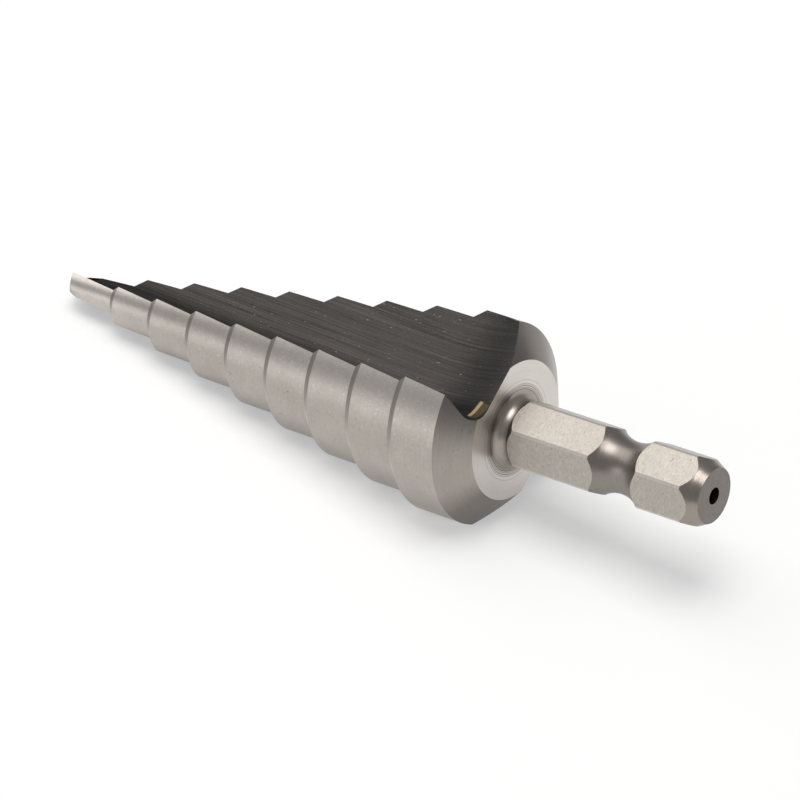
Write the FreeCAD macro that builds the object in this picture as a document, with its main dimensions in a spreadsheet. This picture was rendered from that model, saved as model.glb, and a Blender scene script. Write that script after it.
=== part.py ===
import FreeCAD, Part
import math
import os
import Sketcher

# Step drill, one ground piece of tool steel, in millimetres.
# Body frame: +X runs from the point along the drill's axis to the end of the
# shank. The body's Placement then lays the drill down the way it comes to
# rest, on the two edges of the lower flute, with +Z up.

os.makedirs("parts", exist_ok=True)

doc = FreeCAD.newDocument("step_drill_model")
sheet = doc.addObject("Spreadsheet::Sheet", "Sizes")

values = [
    ("point_len", 1.1),        # the evenly pitched corners are counted from here
    ("first_more", 1.2),       # the first step reaches this much further forward
    ("cone_len", 0.9),         # height of the point in front of its corners
    ("first_rad", 2.0),        # radius of the first step
    ("step_rise", 1.0),        # each step is 2 mm larger in diameter
    ("pitch", 5.88),           # distance from one step's corner to the next
    ("land_len", 4.694),       # straight land of each step
    ("last_land", 4.863),      # land of the largest step
    ("bevel_len", 2.367),      # cone behind the largest step
    ("back_rad", 6.89),        # radius of the flat back face
    ("neck_rad", 3.02),
    ("neck_len", 1.05),
    ("neck_fillet", 1.0),
    ("lead_len", 0.77),        # turned cone at the front of the shank
    ("corner_rad", 3.58),      # turned radius over the hexagon's corners
    ("hex_flat", 6.35),        # across flats, standard 1/4 inch drive
    ("hex_turn", 5.0),         # where one corner of the hexagon points
    ("shank_len", 22.511),      # back face to end face
    ("tail_len", 1.73),        # cone at the end of the shank
    ("tail_rad", 2.69),
    ("detent_pos", 67.48),     # groove centre, measured from the first corners
    ("detent_floor", 2.55),
    ("detent_arc", 3.95),
    ("crown_rad", 30.0),       # the shank's two turned cones are barely convex
    ("centre_rad", 0.82),      # centre hole in the end face
    ("centre_len", 2.6),
    ("centre_cone", 0.5),
    ("root_rad", 1.9),         # rounded root of each flute
    ("near_ang", -33.1),       # wall that carries the cutting edges
    ("far_ang", -107.9),       # wall behind the next land
    ("wall_len", 16.0),
    ("root_y", -0.82),         # sharp root of the walls at the first corners
    ("root_z", 0.74),
    ("slope_y", 0.103),        # the root climbs away from the axis
    ("slope_z", 0.0347),
    ("flute_lead", 4.1),       # the cut starts this far in front
    ("runout_pos", 44.47),     # where the floor starts to curve up
    ("runout_rad", 24.3),
    ("runout_ang", 31.0),
    ("relief_slope", 0.45),    # first relief behind each of the point's lips
    ("heel_from", 1.4),        # the steeper second relief starts here
    ("heel_slope", 2.8),
    ("lip_turn", -31.0),
    ("rest_yaw", 0.00000),
    ("rest_pitch", -6.95246),
    ("rest_roll", 137.04576),
    ("rest_px", -38.32065),
    ("rest_py", -0.00000),
    ("rest_pz", 1.92103),
]
for row, (alias, number) in enumerate(values, 1):
    sheet.set("A%d" % row, alias)
    sheet.set("B%d" % row, repr(float(number)))
    sheet.setAlias("B%d" % row, alias)
doc.recompute()


def val(alias):
    return float(getattr(sheet, alias))


def ref(alias):
    return "<<Sizes>>." + alias


body = doc.addObject("PartDesign::Body", "step_drill")
body.Label = "step_drill"
doc.recompute()


def origin(role):
    for feature in body.Origin.OriginFeatures:
        if feature.Role == role:
            return feature
    raise RuntimeError("no " + role)


def new_sketch(name, role, offset=None):
    sk = body.newObject("Sketcher::SketchObject", name)
    sk.AttachmentSupport = [(origin(role), "")]
    sk.MapMode = "FlatFace"
    if offset is not None:
        sk.AttachmentOffset = offset
    return sk


def polygon(sk, points, names, crowned=()):
    # points: (x expression, y expression), evaluated for the first guess and
    # then bound to the sheet, two distances from the origin for each corner.
    # The sides listed in crowned are flat arcs that bulge away from the axis.
    nums = []
    for ex, ey in points:
        nums.append(FreeCAD.Vector(number(ex), number(ey), 0))
    count = len(points)
    ids, ends = [], []
    for i in range(count):
        p, q = nums[i], nums[(i + 1) % count]
        if i in crowned:
            rad = val("crown_rad")
            inward = FreeCAD.Vector(q.y - p.y, p.x - q.x, 0)
            inward.normalize()
            c = (p + q) * 0.5 + inward * math.sqrt(rad ** 2 - ((q - p).Length / 2) ** 2)
            ids.append(sk.addGeometry(Part.ArcOfCircle(
                Part.Circle(c, FreeCAD.Vector(0, 0, 1), rad),
                math.atan2(q.y - c.y, q.x - c.x), math.atan2(p.y - c.y, p.x - c.x)), False))
            ends.append((2, 1))
        else:
            ids.append(sk.addGeometry(Part.LineSegment(p, q), False))
            ends.append((1, 2))
    for i in range(count):
        j = (i + 1) % count
        sk.addConstraint(Sketcher.Constraint("Coincident", ids[i], ends[i][1], ids[j], ends[j][0]))
    for i, (ex, ey) in enumerate(points):
        bind(sk, ids[i], ends[i][0], nums[i], ex, ey, names + str(i))
    for i in crowned:
        k = sk.addConstraint(Sketcher.Constraint("Radius", ids[i], val("crown_rad")))
        sk.renameConstraint(k, names + "crown" + str(i))
        sk.setExpression("Constraints." + names + "crown" + str(i), ref("crown_rad"))
    return ids


def bind(sk, geo, pos, num, ex, ey, name):
    if abs(num.x) < 1e-9 and ex == "0":
        sk.addConstraint(Sketcher.Constraint("PointOnObject", geo, pos, -2))
    else:
        k = sk.addConstraint(Sketcher.Constraint("DistanceX", -1, 1, geo, pos, num.x))
        sk.renameConstraint(k, name + "x")
        sk.setExpression("Constraints." + name + "x", full(ex))
    if abs(num.y) < 1e-9 and ey == "0":
        sk.addConstraint(Sketcher.Constraint("PointOnObject", geo, pos, -1))
    else:
        k = sk.addConstraint(Sketcher.Constraint("DistanceY", -1, 1, geo, pos, num.y))
        sk.renameConstraint(k, name + "y")
        sk.setExpression("Constraints." + name + "y", full(ey))


# An expression here is a list of (factor, alias) terms, or the text "0"
def number(terms):
    if terms == "0":
        return 0.0
    return sum(k * (val(a) if a else 1.0) for k, a in terms)


def full(terms):
    if terms == "0":
        return "0"
    out = []
    for k, a in terms:
        out.append("(%r)" % k if not a else "(%r) * %s" % (k, ref(a)))
    return " + ".join(out)


def t(*pairs):
    return [(float(k), a) for k, a in pairs]


# Blank: the turned profile, from the point along the steps to the shank's end
corners = [(t((1, "point_len"), (-1, "first_more"), (-1, "cone_len")), "0")]
for i in range(9):
    x_front = t((1, "point_len"), (i, "pitch")) if i else t((1, "point_len"), (-1, "first_more"))
    rad = t((1, "first_rad"), (i, "step_rise")) if i else t((1, "first_rad"))
    corners.append((x_front, rad))
    last = [(1, "land_len"), (1, "first_more")] if i == 0 else [(1, "land_len" if i < 8 else "last_land")]
    corners.append((x_front + t(*last), rad))
x_nine = t((1, "point_len"), (8, "pitch"), (1, "last_land"))
x_back = x_nine + t((1, "bevel_len"))
x_end = x_back + t((1, "shank_len"))
corners += [
    (x_back, t((1, "back_rad"))),
    (x_back, t((1, "neck_rad"))),
    (x_back + t((1, "neck_len")), t((1, "neck_rad"))),
    (x_back + t((1, "neck_len"), (1, "lead_len")), t((1, "corner_rad"))),
    (x_end + t((-1, "tail_len")), t((1, "corner_rad"))),
    (x_end, t((1, "tail_rad"))),
    (x_end, "0"),
]
profile = new_sketch("blank_profile", "XY_Plane")
polygon(profile, corners, "p", (21, 23))
blank = body.newObject("PartDesign::Revolution", "turned_blank")
blank.Profile = profile
blank.ReferenceAxis = (profile, ["H_Axis"])
blank.Angle = 360.0
doc.recompute()
full_volume = body.Shape.Volume

# Hexagonal shank: everything outside the hexagon is cut off behind the neck
hexagon = new_sketch("hex_section", "YZ_Plane")
hexagon.AttachmentOffset = FreeCAD.Placement(
    FreeCAD.Vector(0, 0, number(x_back) + 0.4), FreeCAD.Rotation())
hexagon.setExpression("AttachmentOffset.Base.z", full(x_back + t((0.4, ""))))
hexagon.setExpression("AttachmentOffset.Rotation.Angle", ref("hex_turn") + " * 1deg")
across = val("hex_flat") / math.cos(math.radians(30)) / 2.0
hex_pts = [FreeCAD.Vector(across * math.cos(math.radians(60 * k)),
                          across * math.sin(math.radians(60 * k)), 0) for k in range(6)]
hex_ids = []
for k in range(6):
    hex_ids.append(hexagon.addGeometry(Part.LineSegment(hex_pts[k], hex_pts[(k + 1) % 6]), False))
for k in range(6):
    hexagon.addConstraint(Sketcher.Constraint("Coincident", hex_ids[k], 2, hex_ids[(k + 1) % 6], 1))
for k in range(6):
    name = "h%d" % k
    cx = math.cos(math.radians(60 * k)) / math.cos(math.radians(30)) / 2.0
    cy = math.sin(math.radians(60 * k)) / math.cos(math.radians(30)) / 2.0
    bind(hexagon, hex_ids[k], 1, hex_pts[k], t((cx, "hex_flat")),
         t((cy, "hex_flat")) if k not in (0, 3) else "0", name)
ring_id = hexagon.addGeometry(Part.Circle(FreeCAD.Vector(0, 0, 0), FreeCAD.Vector(0, 0, 1), 12.0), False)
hexagon.addConstraint(Sketcher.Constraint("Coincident", ring_id, 3, -1, 1))
hexagon.addConstraint(Sketcher.Constraint("Radius", ring_id, 12.0))
flats = body.newObject("PartDesign::Pocket", "hex_flats")
flats.Profile = hexagon
flats.Type = 0
flats.Reversed = True
flats.Length = val("shank_len") + 2.0
flats.setExpression("Length", ref("shank_len") + " + 2")
doc.recompute()
hex_volume = body.Shape.Volume
if not hex_volume < full_volume - 20.0:
    raise RuntimeError("the hexagon was not cut: %r %r" % (full_volume, hex_volume))

# Detent groove around the shank, a circular arc turned about the axis
detent = new_sketch("detent_section", "XY_Plane")
det_x = t((1, "point_len"), (1, "detent_pos"))
det_y = t((1, "detent_floor"), (1, "detent_arc"))
circle = detent.addGeometry(Part.Circle(FreeCAD.Vector(number(det_x), number(det_y), 0),
                                        FreeCAD.Vector(0, 0, 1), val("detent_arc")), False)
bind(detent, circle, 3, FreeCAD.Vector(number(det_x), number(det_y), 0), det_x, det_y, "d")
k = detent.addConstraint(Sketcher.Constraint("Radius", circle, val("detent_arc")))
detent.renameConstraint(k, "arc")
detent.setExpression("Constraints.arc", ref("detent_arc"))
groove = body.newObject("PartDesign::Groove", "detent_groove")
groove.Profile = detent
groove.ReferenceAxis = (detent, ["H_Axis"])
groove.Angle = 360.0
doc.recompute()
groove_volume = body.Shape.Volume
if not groove_volume < hex_volume - 5.0:
    raise RuntimeError("the detent groove was not cut")

# Centre hole in the end face, with a drilled cone at its bottom
hole_pts = [
    (x_end + t((-1, "centre_len"), (-1, "centre_cone")), "0"),
    (x_end + t((-1, "centre_len")), t((1, "centre_rad"))),
    (x_end + t((1, "centre_cone")), t((1, "centre_rad"))),
    (x_end + t((1, "centre_cone")), "0"),
]
hole_sketch = new_sketch("centre_section", "XY_Plane")
polygon(hole_sketch, hole_pts, "c")
hole = body.newObject("PartDesign::Groove", "centre_hole")
hole.Profile = hole_sketch
hole.ReferenceAxis = (hole_sketch, ["H_Axis"])
hole.Angle = 360.0
doc.recompute()
hole_volume = body.Shape.Volume
if not hole_volume < groove_volume - 3.0:
    raise RuntimeError("the centre hole was not cut")

# Small fillet where the neck runs into the back face
back_x = number(x_back)
edge_names = []
for n, edge in enumerate(hole.Shape.Edges, 1):
    box = edge.BoundBox
    if abs(box.XMin - back_x) < 1e-4 and abs(box.XMax - back_x) < 1e-4 and abs(box.YMax - val("neck_rad")) < 1e-3:
        edge_names.append("Edge%d" % n)
neck = body.newObject("PartDesign::Fillet", "neck_fillet")
neck.Base = (hole, edge_names)
neck.Radius = val("neck_fillet")
neck.setExpression("Radius", ref("neck_fillet"))
doc.recompute()
neck_volume = body.Shape.Volume
if not neck_volume > hole_volume:
    raise RuntimeError("the neck fillet added nothing")

# Flute: a V with a rounded root, swept without turning along a straight run
# and then an arc that lifts the floor out through the back cone. The arc lies
# in the plane of the near wall, so that wall stays flat to its end.
near = math.radians(val("near_ang"))
far = math.radians(val("far_ang"))
half = abs(near - far) / 2.0
middle = (near + far) / 2.0
start_x = val("point_len") - val("flute_lead")
apex = FreeCAD.Vector(val("root_y") - val("slope_y") * val("flute_lead"),
                      val("root_z") - val("slope_z") * val("flute_lead"), 0)


def ray(angle, length):
    return FreeCAD.Vector(apex.x + length * math.cos(angle), apex.y + length * math.sin(angle), 0)


tangent = val("root_rad") / math.tan(half)
centre = ray(middle, val("root_rad") / math.sin(half))
near_in, near_out = ray(near, tangent), ray(near, val("wall_len"))
far_in, far_out = ray(far, tangent), ray(far, val("wall_len"))
flute_sketch = new_sketch("flute_section", "YZ_Plane", FreeCAD.Placement(
    FreeCAD.Vector(0, 0, start_x), FreeCAD.Rotation()))
flute_sketch.setExpression("AttachmentOffset.Base.z",
                           full(t((1, "point_len"), (-1, "flute_lead"))))
a_near = flute_sketch.addGeometry(Part.LineSegment(near_in, near_out), False)
a_out = flute_sketch.addGeometry(Part.LineSegment(near_out, far_out), False)
a_far = flute_sketch.addGeometry(Part.LineSegment(far_out, far_in), False)
# the root's arc runs counter-clockwise from the near wall to the far one
a_arc = flute_sketch.addGeometry(Part.ArcOfCircle(
    Part.Circle(centre, FreeCAD.Vector(0, 0, 1), val("root_rad")),
    near + math.pi / 2, far - math.pi / 2 + 2 * math.pi), False)
arc_near, arc_far = 1, 2
flute_sketch.addConstraint(Sketcher.Constraint("Coincident", a_near, 2, a_out, 1))
flute_sketch.addConstraint(Sketcher.Constraint("Coincident", a_out, 2, a_far, 1))
flute_sketch.addConstraint(Sketcher.Constraint("Coincident", a_far, 2, a_arc, arc_far))
flute_sketch.addConstraint(Sketcher.Constraint("Coincident", a_arc, arc_near, a_near, 1))


def length_rule(name, kind, args, size, expression):
    index = flute_sketch.addConstraint(Sketcher.Constraint(kind, *args, size))
    flute_sketch.renameConstraint(index, name)
    flute_sketch.setExpression("Constraints." + name, expression)


# each corner is the sharp root plus a length along its wall
sink = "(%s - %s * %s)"
apex_y = sink % (ref("root_y"), ref("slope_y"), ref("flute_lead"))
apex_z = sink % (ref("root_z"), ref("slope_z"), ref("flute_lead"))
outer = ref("wall_len")
inner = "%s / tan(abs(%s - %s) * 0.5deg)" % (ref("root_rad"), ref("near_ang"), ref("far_ang"))
for name, geo, pos, point, along, ang in (
        ("near_out", a_near, 2, near_out, outer, "near_ang"),
        ("far_out", a_out, 2, far_out, outer, "far_ang"),
        ("near_in", a_near, 1, near_in, inner, "near_ang"),
        ("far_in", a_far, 2, far_in, inner, "far_ang")):
    length_rule(name + "_y", "DistanceX", (-1, 1, geo, pos), point.x,
                "%s + %s * cos(%s * 1deg)" % (apex_y, along, ref(ang)))
    length_rule(name + "_z", "DistanceY", (-1, 1, geo, pos), point.y,
                "%s + %s * sin(%s * 1deg)" % (apex_z, along, ref(ang)))
length_rule("root_radius", "Radius", (a_arc,), val("root_rad"), ref("root_rad"))

run = FreeCAD.Vector(1, val("slope_y"), val("slope_z"))
run.normalize()
out = FreeCAD.Vector(0, math.cos(near), math.sin(near))
normal = run.cross(out)
normal.normalize()
side = normal.cross(run)
side.normalize()
start = FreeCAD.Vector(start_x, apex.x, apex.y)
path = new_sketch("flute_path", "XY_Plane", FreeCAD.Placement(
    start, FreeCAD.Rotation(run, side, normal, "ZXY")))
straight = (val("runout_pos") + val("flute_lead")) * math.sqrt(
    1 + val("slope_y") ** 2 + val("slope_z") ** 2)
big = val("runout_rad")
sweep = math.radians(val("runout_ang"))
p0 = FreeCAD.Vector(0, 0, 0)
p1 = FreeCAD.Vector(straight, 0, 0)
p2 = FreeCAD.Vector(straight + big * math.sin(sweep / 2), big * (1 - math.cos(sweep / 2)), 0)
p3 = FreeCAD.Vector(straight + big * math.sin(sweep), big * (1 - math.cos(sweep)), 0)
s_line = path.addGeometry(Part.LineSegment(p0, p1), False)
s_arc = path.addGeometry(Part.Arc(p1, p2, p3), False)
g = path.Geometry[s_arc]
arc_start, arc_stop = (1, 2) if g.StartPoint.distanceToPoint(p1) < 1e-6 else (2, 1)
path.addConstraint(Sketcher.Constraint("Coincident", s_line, 1, -1, 1))
path.addConstraint(Sketcher.Constraint("PointOnObject", s_line, 2, -1))
path.addConstraint(Sketcher.Constraint("Tangent", s_line, 2, s_arc, arc_start))
for name, kind, args, size, expression in (
        ("straight_run", "Distance", (s_line,), straight,
         "(%s + %s) * sqrt(1 + %s ^ 2 + %s ^ 2)" % (ref("runout_pos"), ref("flute_lead"),
                                                   ref("slope_y"), ref("slope_z"))),
        ("runout_radius", "Radius", (s_arc,), big, ref("runout_rad")),
        ("runout_rise", "DistanceY", (-1, 1, s_arc, arc_stop), p3.y,
         "%s * (1 - cos(%s * 1deg))" % (ref("runout_rad"), ref("runout_ang")))):
    index = path.addConstraint(Sketcher.Constraint(kind, *args, size))
    path.renameConstraint(index, name)
    path.setExpression("Constraints." + name, expression)
doc.recompute()

flute = body.newObject("PartDesign::SubtractivePipe", "flute")
flute.Profile = flute_sketch
flute.Spine = (path, ["Edge1", "Edge2"])
flute.Mode = "Fixed"
doc.recompute()
flute_volume = body.Shape.Volume
if not flute_volume < neck_volume - 500.0:
    raise RuntimeError("the flute was not cut: %r %r" % (neck_volume, flute_volume))

# Relief behind each lip of the point, in two planes. The first one holds the
# lip and falls away from it as steeply as the lip itself. The second one
# starts further back, parallel to the lip, and takes the heel off.
lip = math.radians(val("lip_turn"))
out_dir = FreeCAD.Vector(0, math.cos(lip), math.sin(lip))
heel_dir = FreeCAD.Vector(0, -math.sin(lip), math.cos(lip))
rise = val("cone_len") / val("first_rad")
tip = FreeCAD.Vector(val("point_len") - val("first_more") - val("cone_len"), 0, 0)
along = out_dir + FreeCAD.Vector(rise, 0, 0)
along.normalize()


def relief_plane(name, start, slope, back, before):
    fall = heel_dir + FreeCAD.Vector(slope, 0, 0)
    face = along.cross(fall)
    face.normalize()
    if face.x > 0:
        face = face * -1
    across_face = face.cross(along)
    heel_side = 1.0 if across_face.dot(fall) > 0 else -1.0
    sk = new_sketch(name + "_area", "XY_Plane", FreeCAD.Placement(
        start, FreeCAD.Rotation(along, across_face, face, "ZXY")))
    quad = [FreeCAD.Vector(-back, 0, 0), FreeCAD.Vector(4.0, 0, 0),
            FreeCAD.Vector(4.0, heel_side * 6.0, 0), FreeCAD.Vector(-back, heel_side * 6.0, 0)]
    ids = [sk.addGeometry(Part.LineSegment(quad[i], quad[(i + 1) % 4]), False) for i in range(4)]
    for i in range(4):
        sk.addConstraint(Sketcher.Constraint("Coincident", ids[i], 2, ids[(i + 1) % 4], 1))
    for i, rule in enumerate(("Horizontal", "Vertical", "Horizontal", "Vertical")):
        sk.addConstraint(Sketcher.Constraint(rule, ids[i]))
    sk.addConstraint(Sketcher.Constraint("PointOnObject", ids[0], 1, -1))
    if back:
        sk.addConstraint(Sketcher.Constraint("DistanceX", -1, 1, ids[0], 1, -back))
    else:
        sk.addConstraint(Sketcher.Constraint("PointOnObject", ids[3], 2, -2))
    sk.addConstraint(Sketcher.Constraint("DistanceX", -1, 1, ids[1], 1, 4.0))
    sk.addConstraint(Sketcher.Constraint("DistanceY", -1, 1, ids[2], 1, heel_side * 6.0))
    cut = body.newObject("PartDesign::Pocket", name)
    cut.Profile = sk
    cut.Type = 0
    cut.Length = 6.0
    cut.Reversed = True
    doc.recompute()
    if not body.Shape.Volume < before - 0.02:
        raise RuntimeError("%s was not cut: %r" % (name, before))
    return cut, body.Shape.Volume


relief, relief_volume = relief_plane("point_relief", tip, val("relief_slope"), 0.0, flute_volume)
heel_start = tip + heel_dir * val("heel_from") + FreeCAD.Vector(
    val("relief_slope") * val("heel_from"), 0, 0)
heel, relief_volume = relief_plane("heel_relief", heel_start, val("heel_slope"), 0.8, relief_volume)

# The second flute and lip, half a turn round the axis
pair = body.newObject("PartDesign::PolarPattern", "two_flutes")
pair.Originals = [flute, relief, heel]
pair.Axis = (origin("X_Axis"), [""])
pair.Angle = 360.0
pair.Occurrences = 2
body.Tip = pair
doc.recompute()
final_volume = body.Shape.Volume
if not final_volume < relief_volume - 500.0:
    raise RuntimeError("the second flute was not cut")

# Lay the drill down as it rests
body.Placement = FreeCAD.Placement(
    FreeCAD.Vector(val("rest_px"), val("rest_py"), val("rest_pz")),
    FreeCAD.Rotation(val("rest_yaw"), val("rest_pitch"), val("rest_roll")))
for axis in ("x", "y", "z"):
    body.setExpression("Placement.Base." + axis, ref("rest_p" + axis))
doc.recompute()

for obj in doc.Objects:
    if "Invalid" in obj.State or "Error" in obj.State:
        raise RuntimeError("%s: %s" % (obj.Name, obj.State))
for node in (body,):
    shape = node.Shape
    if shape.isNull() or not shape.isValid() or len(shape.Solids) != 1:
        raise RuntimeError("bad shape in " + node.Label)
    box = shape.BoundBox
    print(node.Label, "volume %.1f" % shape.Volume, "faces", len(shape.Faces),
          "box %.3f..%.3f %.3f..%.3f %.3f..%.3f" % (box.XMin, box.XMax, box.YMin, box.YMax, box.ZMin, box.ZMax))
    shape.exportStep("parts/%s.step" % node.Label)
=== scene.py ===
import math

import bpy
import numpy as np
from mathutils import Matrix, Vector


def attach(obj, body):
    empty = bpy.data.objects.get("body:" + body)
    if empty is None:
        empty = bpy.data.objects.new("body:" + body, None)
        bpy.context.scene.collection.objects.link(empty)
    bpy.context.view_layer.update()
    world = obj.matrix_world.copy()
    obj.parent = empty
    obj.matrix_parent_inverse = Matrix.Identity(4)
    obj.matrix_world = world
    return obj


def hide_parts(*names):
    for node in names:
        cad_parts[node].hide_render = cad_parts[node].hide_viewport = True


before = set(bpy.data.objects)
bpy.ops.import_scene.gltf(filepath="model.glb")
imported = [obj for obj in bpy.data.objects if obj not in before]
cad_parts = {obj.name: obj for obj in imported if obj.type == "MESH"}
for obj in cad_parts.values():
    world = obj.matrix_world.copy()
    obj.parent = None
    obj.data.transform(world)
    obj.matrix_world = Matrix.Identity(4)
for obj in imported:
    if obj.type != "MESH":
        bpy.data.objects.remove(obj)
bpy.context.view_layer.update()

# ---------------------------------------------------------------- the drill
# Body frame in millimetres: +X from the point along the axis to the shank.
# ROT and OFF lay it down the way the CAD part lies.
ROT = np.array([[0.99264693, -0.08248228, 0.08859317],
                [0.0, -0.73189818, -0.68141402],
                [0.12104576, 0.67640353, -0.72651648]])
OFF = np.array([-38.320650, 0.0, 1.921028])

PL, PITCH, LAND, LAST, BEV = 1.1, 5.88, 4.694, 4.863, 2.367
X9E = PL + 8 * PITCH + LAST
XB = X9E + BEV
XE = XB + 22.511
RB = 6.89
NECK_R, NECK_L, NECK_F, LEAD = 3.02, 1.05, 1.0, 0.77
RC, HF, HEX_TURN = 3.58, 3.175, math.radians(5.0)
TAIL_L, TAIL_R = 1.73, 2.69
GX, GF, GA = PL + 67.48, 2.55, 3.95
HOLE_R, HOLE_L, HOLE_C = 0.82, 2.6, 0.5
RR = 1.9
NEAR, FAR = math.radians(-33.1), math.radians(-107.9)
HALF, MID = abs(NEAR - FAR) / 2, (NEAR + FAR) / 2
AY, AZ, SY, SZ = -0.82, 0.74, 0.103, 0.0347
RUN_X, RUN_R = 44.47 + PL, 24.3
FIRST_MORE, CONE = 1.2, 0.9
XA = PL - FIRST_MORE - CONE           # where the point's tip is
LIP = math.radians(-31.0)
RISE, HEEL_FROM, HEEL_SLOPE = 0.45, 1.4, 2.8

D1 = np.array([math.cos(NEAR), math.sin(NEAR)])
D2 = np.array([math.cos(FAR), math.sin(FAR)])
DM = np.array([math.cos(MID), math.sin(MID)])
LT = RR / math.tan(HALF)
run = np.array([1.0, SY, SZ]); run /= np.linalg.norm(run)
nrm = np.cross(run, [0.0, D1[0], D1[1]]); nrm /= np.linalg.norm(nrm)
side = np.cross(nrm, run)


def apex(x):
    if x <= RUN_X:
        return np.array([AY + SY * (x - PL), AZ + SZ * (x - PL)])
    phi = (x - RUN_X) / RUN_R
    for _ in range(30):
        f = RUN_R * math.sin(phi) * run[0] + RUN_R * (1 - math.cos(phi)) * side[0] - (x - RUN_X)
        d = RUN_R * math.cos(phi) * run[0] + RUN_R * math.sin(phi) * side[0]
        phi -= f / d
    a = np.array([AY + SY * (RUN_X - PL), AZ + SZ * (RUN_X - PL)])
    return a + RUN_R * math.sin(phi) * run[1:] + RUN_R * (1 - math.cos(phi)) * side[1:]


# points in each half turn: land, far wall, root, near wall
NL, NF, NA, NN = 48, 11, 11, 8
HALF_N = NL + NF + NA + NN            # 78
N = 2 * HALF_N                        # 156 = 6 x 26


def line_circle(a, d, r):
    b = a @ d
    c = a @ a - r * r
    q = b * b - c
    return -1.0 if q < 0 else -b + math.sqrt(q)


def flute_points(x, r):
    """Far wall inwards, root, near wall outwards: NF + NA + NN + 1 points."""
    a = apex(x)
    c = a + RR / math.sin(HALF) * DM
    a0, a1 = NEAR + math.pi / 2, FAR - math.pi / 2 + 2 * math.pi
    tn, tf = line_circle(a, D1, r), line_circle(a, D2, r)
    # angles on the root's arc where it meets the circle of radius r
    cc = np.linalg.norm(c)
    if r <= cc - RR:
        return [c / cc * r] * (NF + NA + NN + 1)      # the cut doesn't reach in this far
    lo, hi = a0, a1
    cosv = (r * r - cc * cc - RR * RR) / (2 * cc * RR)
    cuts = []
    if abs(cosv) <= 1:
        for ang in (math.atan2(c[1], c[0]) + math.acos(cosv), math.atan2(c[1], c[0]) - math.acos(cosv)):
            ang = a0 + (ang - a0) % (2 * math.pi)
            if ang <= a1 + 1e-9:
                cuts.append(ang)
    cuts.sort()
    if tn < LT and cuts:
        lo = cuts[0]
    if tf < LT and cuts:
        hi = cuts[-1]
    out = []
    tf_ = max(tf, LT)
    for i in range(NF):
        if tf > LT:
            out.append(a + D2 * (tf_ + (LT - tf_) * i / NF))
        else:
            out.append(c + RR * np.array([math.cos(hi), math.sin(hi)]))
    for i in range(NA):
        ang = hi + (lo - hi) * i / NA
        out.append(c + RR * np.array([math.cos(ang), math.sin(ang)]))
    for i in range(NN + 1):
        if tn > LT:
            out.append(a + D1 * (LT + (tn - LT) * i / NN))
        else:
            out.append(c + RR * np.array([math.cos(lo), math.sin(lo)]))
    return out


def front(y, z):
    """Where the ground point lies over a spot of the cross-section."""
    out = XA + RISE * math.hypot(y, z)
    for sgn in (1.0, -1.0):
        u = sgn * (y * math.cos(LIP) + z * math.sin(LIP))
        v = sgn * (-y * math.sin(LIP) + z * math.cos(LIP))
        if u > 0 and v > 0:
            out = max(out, XA + RISE * (u + v))
        if v > HEEL_FROM and u > -0.8:
            out = max(out, XA + RISE * (u + HEEL_FROM) + HEEL_SLOPE * (v - HEEL_FROM))
    return out


def drill_section(x, r):
    """N points round the section at x, for a blank of radius r."""
    fl = flute_points(x, r)
    near = fl[-1]
    far = fl[0]
    th0 = math.atan2(near[1], near[0])
    th1 = math.atan2(far[1], far[0]) + math.pi      # heel of the other flute
    while th1 < th0:
        th1 += 2 * math.pi
    while th1 - th0 > 2 * math.pi:
        th1 -= 2 * math.pi
    pts = []
    for i in range(NL):
        th = th0 + (th1 - th0) * i / NL
        pts.append([x, r * math.cos(th), r * math.sin(th)])
    for q in fl[:-1]:
        pts.append([x, -q[0], -q[1]])
    half = np.array(pts)
    other = half * np.array([1, -1, -1])
    return np.vstack([half, other])


def hex_section(x, r, spread=None, plain=False):
    """N points round the shank: six flats of 18 steps, six corners of 8."""
    pts = []
    if r > HF and not plain:
        phi = math.acos(HF / r)
        for s in range(6):
            mid = HEX_TURN - math.radians(30) + math.radians(60) * s
            for i in range(18):
                t = -1 + 2 * i / 18
                y = HF * math.tan(phi) * t
                pts.append((mid, HF, y))
            for i in range(8):
                ang = phi + (math.radians(60) - 2 * phi) * i / 8
                pts.append((mid, r * math.cos(ang), r * math.sin(ang)))
    else:
        phi = spread
        for s in range(6):
            mid = HEX_TURN - math.radians(30) + math.radians(60) * s
            for i in range(18):
                ang = phi * (-1 + 2 * i / 18)
                pts.append((mid, r * math.cos(ang), r * math.sin(ang)))
            for i in range(8):
                ang = phi + (math.radians(60) - 2 * phi) * i / 8
                pts.append((mid, r * math.cos(ang), r * math.sin(ang)))
    return np.array([[x, a * math.cos(m) - b * math.sin(m), a * math.sin(m) + b * math.cos(m)]
                     for m, a, b in pts])


LANDM, SHOULD, WALL, ROOT, RAKE, BEVEL, BACK, NECK, HEXF, HEXC, GROOVE, TAIL, ENDF, HOLE, POINT = range(15)
rows, zones = [], []      # zones[i]: kind of the strip between row i and i + 1


def add(section, zone):
    rows.append(section)
    zones.append(zone)


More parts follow.
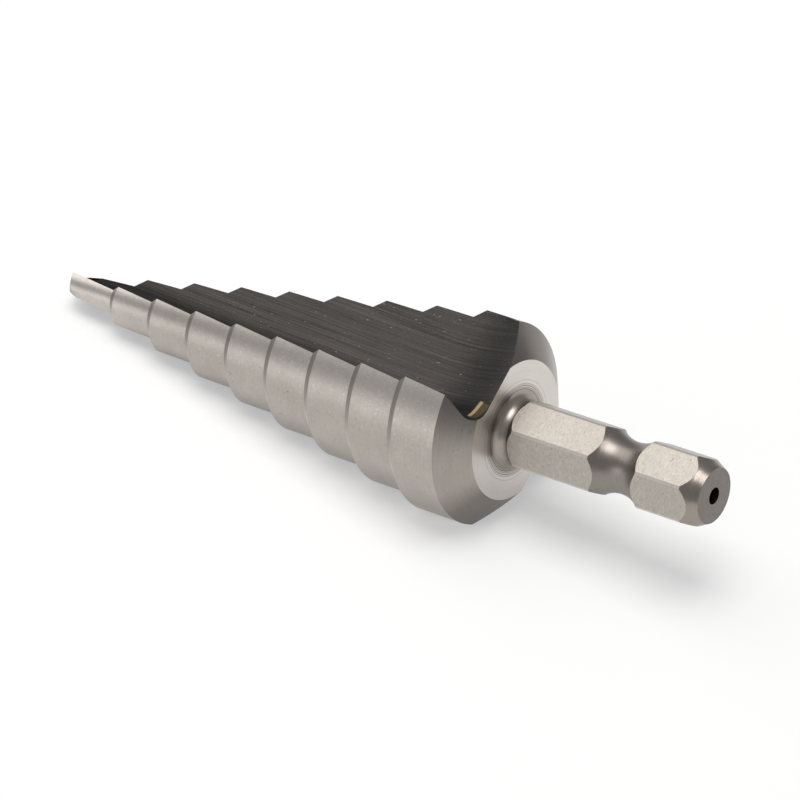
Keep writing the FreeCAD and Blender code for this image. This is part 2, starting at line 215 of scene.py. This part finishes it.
# the point, the steps and the back cone
grid = np.linspace(-0.5, 2.2, 109)
stack = np.array([drill_section(x, 2.0) for x in grid])
outline = np.zeros((N, 3))
for j in range(N):
    gap = np.array([x - front(stack[i, j, 1], stack[i, j, 2]) for i, x in enumerate(grid)])
    i = int(np.argmax(gap > 0))
    i = max(i, 1)
    w = gap[i - 1] / (gap[i - 1] - gap[i]) if gap[i] != gap[i - 1] else 0.0
    outline[j] = stack[i - 1, j] + (stack[i, j] - stack[i - 1, j]) * min(max(w, 0.0), 1.0)
for t in (0.1, 0.22, 0.34, 0.46, 0.58, 0.7, 0.8, 0.9):
    ring = outline * t
    ring[:, 0] = [front(q[1], q[2]) for q in ring]
    add(ring, "point")
add(outline, "land")
START = float(outline[:, 0].max()) + 0.12
print("point: outline from", outline[:, 0].min(), "to", outline[:, 0].max())
for i in range(9):
    f, r = (PL + PITCH * i) if i else START, 2.0 + i
    e = PL + PITCH * i + (LAND if i < 8 else LAST)
    n = 6 if i == 0 else (5 if i < 7 else 9)
    for k in range(n):
        add(drill_section(f + (e - f) * k / n, r), "land")
    if i < 8:
        for k in range(4):
            add(drill_section(e + (PITCH - LAND) * k / 4, r + k / 4), "shoulder")
for k in range(16):
    t = k / 16
    add(drill_section(X9E + BEV * t, 10.0 + (RB - 10.0) * t), "bevel")
outer = drill_section(XB, RB)
add(outer, "back")


# the flat back face: rings from the cut outline in to the neck's fillet
def uniform(x, r):
    return hex_section(x, r, math.radians(30) * 18 / 26, True)


inner = uniform(XB, NECK_R + NECK_F)
# the outline's points and the shank's points start at different angles
ang_o = np.unwrap(np.arctan2(outer[:, 2], outer[:, 1]))
ang_i = np.arctan2(inner[:, 2], inner[:, 1])
shift = min(range(N), key=lambda s: float(np.sum(np.abs(np.exp(1j * np.roll(ang_i, s)) - np.exp(1j * ang_o)))))


def shank(section):
    return np.roll(section, shift, axis=0)


for k in range(1, 9):
    t = k / 9
    add(outer + (shank(inner) - outer) * t, "back")
# neck: quarter fillet, straight, cone
for k in range(11):
    a = math.pi / 2 * k / 10
    add(shank(uniform(XB + NECK_F * (1 - math.cos(a)), NECK_R + NECK_F * (1 - math.sin(a)))), "neck")
x0, x1 = XB + NECK_L, XB + NECK_L + LEAD
FULL = math.radians(30) * 18 / 26
PHIS = [math.radians(p) for p in (0.02, 4, 8, 12, 16, 20, 24)]
PHI_C = math.acos(HF / RC)


def cone_x(r):
    return x0 + (x1 - x0) * (r - NECK_R) / (RC - NECK_R)


for k, r in enumerate((NECK_R, 3.06, 3.10, 3.13, 3.16)):
    add(shank(hex_section(cone_x(r), r, FULL * math.sqrt(1 - k / 5.0))), "lead")
for p in PHIS:
    r = HF / math.cos(p)
    add(shank(hex_section(cone_x(r), r)), "lead")
# straight hexagon up to the groove
half_w = math.sqrt(GA ** 2 - (GA - (RC - GF)) ** 2)
for k in range(8):
    add(shank(hex_section(x1 + (GX - half_w - x1) * k / 8, RC)), "hex")


def groove_dx(r):
    return math.sqrt(GA ** 2 - (GA - (r - GF)) ** 2)


def groove_r(dx):
    return GF + GA - math.sqrt(GA ** 2 - dx ** 2)


steps = [(-groove_dx(RC), RC, None)]
for p in reversed(PHIS):
    r = HF / math.cos(p)
    steps.append((-groove_dx(r), r, None))
edge = groove_dx(HF)
M = 18
for k in range(1, M):
    dx = -edge + 2 * edge * k / M
    s = 1 - abs(dx) / edge
    steps.append((dx, groove_r(dx), FULL * math.sqrt(min(1.0, s * 2.2))))
for p in PHIS:
    r = HF / math.cos(p)
    steps.append((groove_dx(r), r, None))
for dx, r, s in steps:
    add(shank(hex_section(GX + dx, r, s)), "groove")
# rear hexagon, tail cone
xt = XE - TAIL_L
for k in range(6):
    add(shank(hex_section(GX + half_w + (xt - GX - half_w) * k / 6, RC)), "hex")


def tail_x(r):
    return xt + TAIL_L * (RC - r) / (RC - TAIL_R)


add(shank(hex_section(xt, RC)), "tail")
for p in reversed(PHIS):
    r = HF / math.cos(p)
    add(shank(hex_section(tail_x(r), r)), "tail")
for k, r in enumerate((3.13, 3.06, 2.97, 2.85)):
    add(shank(hex_section(tail_x(r), r, FULL * math.sqrt((k + 1) / 5.0))), "tail")
for k in range(7):
    r = TAIL_R + (HOLE_R - TAIL_R) * k / 7
    add(shank(uniform(XE, r)), "end")
for k in range(6):
    add(shank(uniform(XE - HOLE_L * k / 6, HOLE_R)), "hole")
for k in range(4):
    t = k / 4
    add(shank(uniform(XE - HOLE_L - HOLE_C * t, HOLE_R * (1 - t))), "hole")
last = len(rows)

body = np.vstack(rows + [np.array([[XA, 0.0, 0.0], [XE - HOLE_L - HOLE_C, 0.0, 0.0]])])
tip_v, end_v = last * N, last * N + 1
faces, mats = [], []
for i in range(last - 1):
    z = zones[i]
    for j in range(N):
        h = j % HALF_N
        k = (j + 1) % N
        if z in ("land", "shoulder", "bevel", "point"):
            if h < NL:
                m = {"land": LANDM, "shoulder": SHOULD, "bevel": BEVEL, "point": POINT}[z]
            elif h < NL + NF:
                m = WALL
            elif h < NL + NF + NA:
                m = ROOT
            else:
                m = RAKE
        elif z == "back":
            m = BACK
        elif z in ("neck",):
            m = NECK
        elif z in ("hex", "lead", "groove", "tail"):
            js = (j - shift) % N % 26
            flat = js < 18
            inside = z == "hex" or (np.linalg.norm(rows[i][j][1:]) > HF - 1e-6 and
                                    max(np.linalg.norm(rows[i][q][1:]) for q in range(N)) > HF + 1e-4 and
                                    max(np.linalg.norm(rows[i + 1][q][1:]) for q in range(0, N)) > HF + 1e-4)
            if flat and inside:
                m = HEXF
            elif z == "hex":
                m = HEXC
            elif z == "lead":
                m = NECK
            elif z == "groove":
                m = GROOVE
            else:
                m = TAIL
        elif z == "end":
            m = ENDF
        else:
            m = HOLE
        faces.append((i * N + j, i * N + k, (i + 1) * N + k, (i + 1) * N + j))
        mats.append(m)
for j in range(N):
    k = (j + 1) % N
    h = j % HALF_N
    faces.append((tip_v, k, j)); mats.append(POINT)
    faces.append(((last - 1) * N + j, (last - 1) * N + k, end_v)); mats.append(HOLE)

world = (body @ ROT.T + OFF) / 1000.0
mesh = bpy.data.meshes.new("step_drill_mesh")
mesh.from_pydata(world.tolist(), [], faces)
mesh.polygons.foreach_set("material_index", mats)
mesh.update()
import bmesh
bm = bmesh.new()
bm.from_mesh(mesh)
bmesh.ops.remove_doubles(bm, verts=bm.verts, dist=2.0e-6)
bmesh.ops.dissolve_degenerate(bm, edges=bm.edges, dist=1.0e-6)
bmesh.ops.recalc_face_normals(bm, faces=bm.faces)
bm.to_mesh(mesh)
bm.free()
co = np.zeros(len(mesh.vertices) * 3)
mesh.vertices.foreach_get("co", co)
co = co.reshape(-1, 3)
back_to_body = (co * 1000.0 - OFF) @ ROT
attr = mesh.attributes.new("body", "FLOAT_VECTOR", "POINT")
attr.data.foreach_set("vector", back_to_body.astype(np.float32).ravel())
# the flutes' own coordinates: along the cut, and across it from its sharp root
sweep = np.zeros_like(back_to_body)
for i, (bx, by, bz) in enumerate(back_to_body):
    sgn = 1.0 if by * DM[0] + bz * DM[1] > 0 else -1.0
    a = apex(float(bx))
    sweep[i] = (bx + (40.0 if sgn > 0 else 0.0), sgn * by - a[0], sgn * bz - a[1])
attr2 = mesh.attributes.new("sweep", "FLOAT_VECTOR", "POINT")
attr2.data.foreach_set("vector", sweep.astype(np.float32).ravel())
mesh.shade_smooth()
drill = bpy.data.objects.new("drill_steel", mesh)
bpy.context.scene.collection.objects.link(drill)
print("faces", len(mesh.polygons), "open edges", sum(1 for e in mesh.edges if e.is_loose))


# ---------------------------------------------------------------- materials
def node(nt, kind, x=0, y=0, **props):
    n = nt.nodes.new(kind)
    n.location = (x, y)
    for k, v in props.items():
        setattr(n, k, v)
    return n


def math_node(nt, op, a, b=None):
    n = nt.nodes.new("ShaderNodeMath")
    n.operation = op
    for i, v in enumerate((a, b)):
        if v is None:
            continue
        if isinstance(v, (int, float)):
            n.inputs[i].default_value = v
        else:
            nt.links.new(v, n.inputs[i])
    return n.outputs[0]


def coords(nt, kind, ka, kb):
    """Coordinates in which noise becomes machining lines. turned: round the
    axis. rings: round the axis on a square face. axial: along a flute.
    cross: across the shank."""
    at = node(nt, "ShaderNodeAttribute")
    at.attribute_name = "sweep" if kind == "axial" else "body"
    plain = node(nt, "ShaderNodeAttribute")
    plain.attribute_name = "body"
    sep = node(nt, "ShaderNodeSeparateXYZ")
    nt.links.new(at.outputs["Vector"], sep.inputs[0])
    x, y, z = sep.outputs
    rr = math_node(nt, "SQRT", math_node(nt, "ADD", math_node(nt, "MULTIPLY", y, y),
                                         math_node(nt, "MULTIPLY", z, z)))
    comb = node(nt, "ShaderNodeCombineXYZ")
    if kind in ("axial", "cross"):
        parts = (x, y, z)
    else:
        safe = math_node(nt, "MAXIMUM", rr, 0.02)
        parts = (x if kind == "turned" else rr, math_node(nt, "DIVIDE", y, safe),
                 math_node(nt, "DIVIDE", z, safe))
    for k, (part, f) in enumerate(zip(parts, (ka, kb, kb))):
        nt.links.new(math_node(nt, "MULTIPLY", part, f), comb.inputs[k])
    return comb.outputs[0], plain.outputs["Vector"], rr, (x, y, z)


def dot(nt, vec, axis):
    n = nt.nodes.new("ShaderNodeVectorMath")
    n.operation = "DOT_PRODUCT"
    nt.links.new(vec, n.inputs[0])
    n.inputs[1].default_value = axis
    return n.outputs["Value"]


def band(nt, value, centre, half, soft):
    """1 within half of centre, falling to 0 over soft."""
    off = math_node(nt, "ABSOLUTE", math_node(nt, "SUBTRACT", value, centre))
    m = nt.nodes.new("ShaderNodeMapRange")
    m.interpolation_type = "SMOOTHSTEP"
    nt.links.new(off, m.inputs["Value"])
    for key, v in (("From Min", half), ("From Max", half + soft), ("To Min", 1.0), ("To Max", 0.0)):
        m.inputs[key].default_value = v
    return m.outputs["Result"]


def ramp(nt, source, stops):
    r = node(nt, "ShaderNodeValToRGB")
    r.color_ramp.elements[0].position = stops[0][0]
    r.color_ramp.elements[0].color = (*stops[0][1], 1)
    r.color_ramp.elements[1].position = stops[-1][0]
    r.color_ramp.elements[1].color = (*stops[-1][1], 1)
    for p, c in stops[1:-1]:
        e = r.color_ramp.elements.new(p)
        e.color = (*c, 1)
    nt.links.new(source, r.inputs[0])
    return r.outputs[0]


def noise(nt, vec, scale, detail=3.0, rough=0.55):
    n = node(nt, "ShaderNodeTexNoise")
    n.inputs["Scale"].default_value = scale
    n.inputs["Detail"].default_value = detail
    n.inputs["Roughness"].default_value = rough
    nt.links.new(vec, n.inputs["Vector"])
    return n.outputs["Fac"]


def mix(nt, fac, a, b, mode="MIX"):
    m = node(nt, "ShaderNodeMix", data_type="RGBA", blend_type=mode)
    if isinstance(fac, (int, float)):
        m.inputs[0].default_value = fac
    else:
        nt.links.new(fac, m.inputs[0])
    for sock, v in ((m.inputs[6], a), (m.inputs[7], b)):
        if isinstance(v, tuple):
            sock.default_value = (*v, 1)
        else:
            nt.links.new(v, sock)
    return m.outputs[2]


def steel(name, dark, light, rough, kind, ka, kb, line=0.5, bump=0.05, pits=0.0, mottle=0.3,
          stain=(0.30, 0.26, 0.22), rough_var=0.08, extra=None):
    m = bpy.data.materials.new(name)
    m.use_nodes = True
    nt = m.node_tree
    bsdf = nt.nodes["Principled BSDF"]
    bsdf.inputs["Metallic"].default_value = 1.0
    vec, plain, rr, xyz = coords(nt, kind, ka, kb)
    fine = noise(nt, vec, 1.0, 5.0, 0.68)
    soft = noise(nt, plain, 0.35, 3.0, 0.5)
    grain = noise(nt, plain, 7.0, 3.0, 0.65)
    # fine machining lines pull the colour between its dark and light ends
    both = math_node(nt, "ADD", math_node(nt, "MULTIPLY", fine, 0.72), math_node(nt, "MULTIPLY", grain, 0.28))
    lines = ramp(nt, both, [(0.5 - 0.25 / line * 0.8, (0, 0, 0)), (0.5 + 0.25 / line * 0.8, (1, 1, 1))])
    base = mix(nt, lines, dark, light)
    cloud = ramp(nt, soft, [(0.35, (0, 0, 0)), (0.7, (1, 1, 1))])
    shade = tuple(0.62 * a + 0.38 * b * 0.7 for a, b in zip(dark, stain))
    base = mix(nt, math_node(nt, "MULTIPLY", cloud, mottle), base, shade)
    if pits > 0:
        # small dark pits, more of them where a broad cloud is dense
        dense = ramp(nt, noise(nt, plain, 0.5, 2.0, 0.5), [(0.42, (0, 0, 0)), (0.66, (1, 1, 1))])
        spots = noise(nt, plain, 3.6, 2.5, 0.55)
        mask = ramp(nt, spots, [(0.66 - 0.02 * pits, (0, 0, 0)), (0.72 - 0.02 * pits, (1, 1, 1))])
        both_p = math_node(nt, "MULTIPLY", mask, math_node(nt, "ADD", 0.12, math_node(nt, "MULTIPLY", dense, 0.5)))
        base = mix(nt, both_p, base, tuple(0.38 * c for c in dark))
    if extra:
        base = extra(nt, base, vec, plain, rr, xyz)
    nt.links.new(base, bsdf.inputs["Base Color"])
    rg = math_node(nt, "ADD", rough - rough_var / 2, math_node(nt, "MULTIPLY", grain, rough_var))
    nt.links.new(rg, bsdf.inputs["Roughness"])
    b = node(nt, "ShaderNodeBump")
    b.inputs["Strength"].default_value = bump
    b.inputs["Distance"].default_value = 0.00003
    height = math_node(nt, "ADD", fine, math_node(nt, "MULTIPLY", grain, 0.35))
    nt.links.new(height, b.inputs["Height"])
    nt.links.new(b.outputs[0], bsdf.inputs["Normal"])
    return m


def k3(c, *f):
    f = f * 3 if len(f) == 1 else f
    return tuple(a * b for a, b in zip(c, f))


def ramp_range(nt, value, lo, hi, top):
    m = nt.nodes.new("ShaderNodeMapRange")
    m.interpolation_type = "SMOOTHSTEP"
    nt.links.new(value, m.inputs["Value"])
    for key, v in (("From Min", lo), ("From Max", hi), ("To Min", 0.0), ("To Max", top)):
        m.inputs[key].default_value = v
    return m.outputs["Result"]


def scratches_and_root_shade(nt, base, vec, plain, rr, xyz):
    """Short bright scratches along the flute, and painted shade darkening the flute towards its root."""
    x, y, z = xyz
    comb = node(nt, "ShaderNodeCombineXYZ")
    for k, (part, f) in enumerate(zip((x, y, z), (1.7, 8.0, 8.0))):
        nt.links.new(math_node(nt, "MULTIPLY", part, f), comb.inputs[k])
    sp = noise(nt, comb.outputs[0], 1.0, 1.0, 0.4)
    mask = ramp(nt, sp, [(0.745, (0, 0, 0)), (0.775, (1, 1, 1))])
    base = mix(nt, math_node(nt, "MULTIPLY", mask, 0.6), base, (0.34, 0.31, 0.29))
    # painted shade: the flute is darkened towards its root, where shade falls in the crease
    away = math_node(nt, "SQRT", math_node(nt, "ADD", math_node(nt, "MULTIPLY", y, y),
                                           math_node(nt, "MULTIPLY", z, z)))
    painted_root_shade = ramp_range(nt, math_node(nt, "SUBTRACT", 10.0, away), 6.0, 7.7, 0.8)
    return mix(nt, painted_root_shade, base, (0.012, 0.011, 0.010))


# bronze discolouration near the flute's run-out with a painted glint inside it; the called function adds scratches
# and painted root shade
def bronze_glint_and_root_shade(nt, base, vec, plain, rr, xyz):
    base = scratches_and_root_shade(nt, base, vec, plain, rr, xyz)
    sx = node(nt, "ShaderNodeSeparateXYZ")
    nt.links.new(plain, sx.inputs[0])
    e1 = Vector((0.27, -0.36, -0.89)).normalized()
    e2 = Vector((0.75, 0.65, 0.14)).normalized()
    c = Vector((54.05, 5.42, -0.66))
    mask = math_node(nt, "MULTIPLY", band(nt, dot(nt, plain, e1), c.dot(e1), 0.85, 0.12),
                     band(nt, dot(nt, plain, e2), c.dot(e2), 0.85, 0.15))
    # painted glint: the bright strip inside the bronze patch stands in for light caught by a small facet
    strip = band(nt, dot(nt, plain, e2), c.dot(e2) - 0.62, 0.22, 0.14)
    tint = mix(nt, strip, (0.17, 0.125, 0.05), (0.80, 0.62, 0.36))
    return mix(nt, math_node(nt, "MULTIPLY", mask, 0.92), base, tint)


def back_cone(nt, base, vec, plain, rr, xyz):
    """Painted dark reflection on the back cone, darker near the flutes."""
    x, y, z = xyz
    a = Vector((0.0, math.cos(math.radians(-55)), math.sin(math.radians(-55))))
    d = math_node(nt, "ABSOLUTE", math_node(nt, "DIVIDE", dot(nt, plain, a), rr))
    m = nt.nodes.new("ShaderNodeMapRange")
    m.interpolation_type = "SMOOTHSTEP"
    nt.links.new(d, m.inputs["Value"])
    for key, v in (("From Min", 0.28), ("From Max", 0.72), ("To Min", 0.0), ("To Max", 0.62)):
        m.inputs[key].default_value = v
    # painted dark reflection: the cone is darkened by angle, towards the flutes
    return mix(nt, m.outputs["Result"], base, (0.115, 0.100, 0.090))


def back_rings(nt, base, vec, plain, rr, xyz):
    """A few turned rings round the neck's root and a dark line near the rim."""
    for r0, w, k in ((4.02, 0.05, 0.85), (4.20, 0.035, 0.55), (4.38, 0.035, 0.6), (4.56, 0.03, 0.4),
                     (4.95, 0.03, 0.2)):
        base = mix(nt, math_node(nt, "MULTIPLY", band(nt, rr, r0, w, 0.05), k), base, (0.06, 0.052, 0.047))
    return base


def land_painted_light_and_tone(nt, base, vec, plain, rr, xyz):
    """Painted highlight on the lands along the cutting-edge side, painted shade on the side turned away, a painted
    highlight near the point, and darker blots and bright flecks.
    """
    x, y, z = xyz
    a = Vector((0.0, math.cos(math.radians(-15)), math.sin(math.radians(-15))))
    d = math_node(nt, "ABSOLUTE", math_node(nt, "DIVIDE", dot(nt, plain, a), rr))
    # painted highlight band along the cutting-edge side
    base = mix(nt, ramp_range(nt, d, 0.75, 1.0, 0.45), base, (0.66, 0.61, 0.57))
    # painted highlight on the lands near the point
    base = mix(nt, ramp_range(nt, math_node(nt, "SUBTRACT", 20.0, x), 4.0, 18.0, 0.42), base, (0.74, 0.695, 0.66))
    blot = ramp(nt, noise(nt, plain, 2.4, 5.0, 0.75), [(0.42, (0, 0, 0)), (0.62, (1, 1, 1))])
    base = mix(nt, math_node(nt, "MULTIPLY", blot, 0.24), base, (0.34, 0.308, 0.283))
    fleck = ramp(nt, noise(nt, plain, 4.2, 3.0, 0.6), [(0.60, (0, 0, 0)), (0.68, (1, 1, 1))])
    fleck = math_node(nt, "MULTIPLY", fleck, ramp_range(nt, d, 0.45, 0.95, 0.4))
    base = mix(nt, fleck, base, (0.80, 0.77, 0.74))
    # painted shade on the side of the lands turned away from the cutting edge
    return mix(nt, ramp_range(nt, math_node(nt, "SUBTRACT", 1.0, d), 0.55, 1.0, 0.35), base, (0.32, 0.29, 0.265))


def shoulder_fade(nt, base, vec, plain, rr, xyz):
    """Painted shade and light on the steps' shoulders: darkest near the cutting edge, painted lighter away from
    it.
    """
    a = Vector((0.0, math.cos(math.radians(-25)), math.sin(math.radians(-25))))
    d = math_node(nt, "ABSOLUTE", math_node(nt, "DIVIDE", dot(nt, plain, a), rr))
    m = nt.nodes.new("ShaderNodeMapRange")
    m.interpolation_type = "SMOOTHSTEP"
    nt.links.new(d, m.inputs["Value"])
    for key, v in (("From Min", 0.25), ("From Max", 0.85), ("To Min", 1.0), ("To Max", 0.0)):
        m.inputs[key].default_value = v
    # painted light: the shoulders are lightened away from the cutting edge
    return mix(nt, m.outputs["Result"], base, (0.68, 0.63, 0.585))


LAND_D, LAND_L = (0.405, 0.368, 0.338), (0.495, 0.452, 0.415)
mats_by_zone = {
    LANDM: steel("ground_land", LAND_D, LAND_L, 0.38, "turned", 9.0, 2.2,
                 line=1.0, bump=0.3, pits=1.6, mottle=0.3, extra=land_painted_light_and_tone),
    SHOULD: steel("ground_shoulder", (0.27, 0.25, 0.23), (0.36, 0.335, 0.31), 0.38, "turned", 9.0, 2.0,
                  line=0.7, bump=0.15, mottle=0.1, extra=shoulder_fade),
    WALL: steel("flute_wall", (0.024, 0.022, 0.021), (0.092, 0.085, 0.082), 0.34, "axial", 0.06, 9.0,
                line=1.3, bump=0.4, mottle=0.15, extra=bronze_glint_and_root_shade),
    ROOT: steel("flute_root", (0.020, 0.019, 0.018), (0.062, 0.057, 0.054), 0.34, "axial", 0.06, 9.0,
                line=1.3, bump=0.4, mottle=0.15, extra=bronze_glint_and_root_shade),
    RAKE: steel("flute_rake", (0.05, 0.047, 0.044), (0.13, 0.122, 0.115), 0.34, "axial", 0.06, 9.0,
                line=1.2, bump=0.35, mottle=0.15, extra=bronze_glint_and_root_shade),
    BEVEL: steel("turned_back_cone", (0.315, 0.283, 0.255), (0.405, 0.368, 0.336), 0.36, "turned", 12.0, 3.0,
                 line=0.7, bump=0.2, pits=0.8, mottle=0.2, extra=back_cone),
    BACK: steel("turned_back_face", (0.60, 0.555, 0.525), (0.76, 0.715, 0.68), 0.36, "rings", 9.0, 1.2,
                line=0.6, bump=0.2, mottle=0.12, extra=back_rings),
    NECK: steel("turned_neck", (0.25, 0.22, 0.195), (0.44, 0.40, 0.36), 0.32, "turned", 9.0, 1.0,
                line=0.9, bump=0.3, mottle=0.2),
    HEXF: steel("milled_flat", (0.33, 0.30, 0.268), (0.53, 0.49, 0.445), 0.34, "cross", 11.0, 2.2,
                line=1.3, bump=0.6, pits=0.8, mottle=0.15),
    # hex_corner: the corner strips are coloured much lighter than the flats, painted light that hides the dark
    # reflection they catch
    HEXC: steel("hex_corner", (0.55, 0.51, 0.47), (0.72, 0.675, 0.625), 0.5, "turned", 6.0, 0.8,
                line=0.8, bump=0.15, mottle=0.1),
    GROOVE: steel("turned_groove", (0.20, 0.175, 0.155), (0.34, 0.31, 0.285), 0.36, "turned", 12.0, 1.4,
                  line=0.6, bump=0.15, mottle=0.2),
    TAIL: steel("turned_tail", (0.27, 0.235, 0.205), (0.37, 0.33, 0.295), 0.30, "turned", 9.0, 1.2,
                line=0.7, bump=0.2, mottle=0.15),
    ENDF: steel("rough_end_face", (0.175, 0.155, 0.14), (0.28, 0.255, 0.235), 0.46, "rings", 4.0, 2.6,
                line=0.8, bump=0.5, pits=0.8, mottle=0.35),
    HOLE: steel("drilled_hole", (0.14, 0.12, 0.105), (0.34, 0.30, 0.26), 0.28, "turned", 6.0, 0.8,
                line=0.8, bump=0.3, mottle=0.2),
    POINT: steel("ground_point", (0.36, 0.33, 0.305), (0.50, 0.465, 0.435), 0.34, "cross", 5.0, 5.0,
                 line=0.8, bump=0.2, mottle=0.2),
}
for z in range(15):
    mesh.materials.append(mats_by_zone[z])
# bevelled edges coloured lighter than the faces: partly edge wear, partly a painted edge highlight
edge_wear_and_highlight = steel("worn_edge_and_highlight", (0.50, 0.465, 0.43), (0.62, 0.585, 0.55), 0.36, "turned", 3.0, 3.0,
                   line=0.8, bump=0.1, mottle=0.1)
mesh.materials.append(edge_wear_and_highlight)

bev = drill.modifiers.new("edges", "BEVEL")
bev.width = 0.000045
bev.segments = 2
bev.limit_method = "ANGLE"
bev.angle_limit = math.radians(24)
bev.material = 15
bev.harden_normals = True
bev.use_clamp_overlap = True

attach(drill, "root")
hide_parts("step_drill")

# ---------------------------------------------------------------- the stage
fm = bpy.data.meshes.new("floor")
S = 3.0
fm.from_pydata([(-S, -S, 0), (S, -S, 0), (S, S, 0), (-S, S, 0)], [], [(0, 1, 2, 3)])
floor = bpy.data.objects.new("floor", fm)
bpy.context.scene.collection.objects.link(floor)
mat = bpy.data.materials.new("floor_white")
mat.use_nodes = True
nt = mat.node_tree
fb = nt.nodes["Principled BSDF"]
fb.inputs["Base Color"].default_value = (0.56, 0.56, 0.56, 1)
fb.inputs["Emission Color"].default_value = (1.0, 1.0, 1.0, 1)
fb.inputs["Emission Strength"].default_value = 0.42
fb.inputs["Roughness"].default_value = 0.8
fb.inputs["Specular IOR Level"].default_value = 0.1
fm.materials.append(mat)

scene = bpy.context.scene
w = bpy.data.worlds.new("studio")
scene.world = w
w.use_nodes = True
bg = w.node_tree.nodes["Background"]
bg.inputs["Color"].default_value = (0.96, 0.98, 1.0, 1)
bg.inputs["Strength"].default_value = 0.36


def area(name, loc, target, sx, sy, power, color=(1, 1, 1)):
    d = bpy.data.lights.new(name, "AREA")
    d.shape = "RECTANGLE"
    d.size, d.size_y = sx, sy
    d.energy = power
    d.color = color
    o = bpy.data.objects.new(name, d)
    scene.collection.objects.link(o)
    o.location = loc
    o.rotation_euler = (Vector(target) - Vector(loc)).to_track_quat("-Z", "Y").to_euler()
    return o


area("key_left", (-0.42, 0.03, 0.49), (0, 0, 0), 0.55, 0.55, 1.25, (1.0, 0.975, 0.94))
area("overhead", (0.02, 0.0, 0.80), (0, 0, 0), 0.50, 0.50, 3.7, (1.0, 0.99, 0.98))
area("front_fill", (-0.42, -0.62, 0.10), (0, 0, 0), 0.40, 0.25, 0.45, (1.0, 0.985, 0.97))

# ---------------------------------------------------------------- the camera
cam_data = bpy.data.cameras.new("camera")
cam_data.sensor_width = 36.0
cam_data.lens = 178.493
cam_data.clip_start = 0.01
cam_data.clip_end = 20.0
cam = bpy.data.objects.new("camera", cam_data)
scene.collection.objects.link(cam)
right = Vector((0.797954, 0.601925, -0.030897))
up = Vector((-0.360137, 0.517273, 0.776357))
back = Vector((0.483291, -0.608370, 0.629536))
cam.matrix_world = Matrix(((right.x, up.x, back.x, 0.188061),
                           (right.y, up.y, back.y, -0.233196),
                           (right.z, up.z, back.z, 0.247173),
                           (0, 0, 0, 1)))
scene.camera = cam
scene.view_settings.view_transform = "Standard"
scene.view_settings.look = "None"
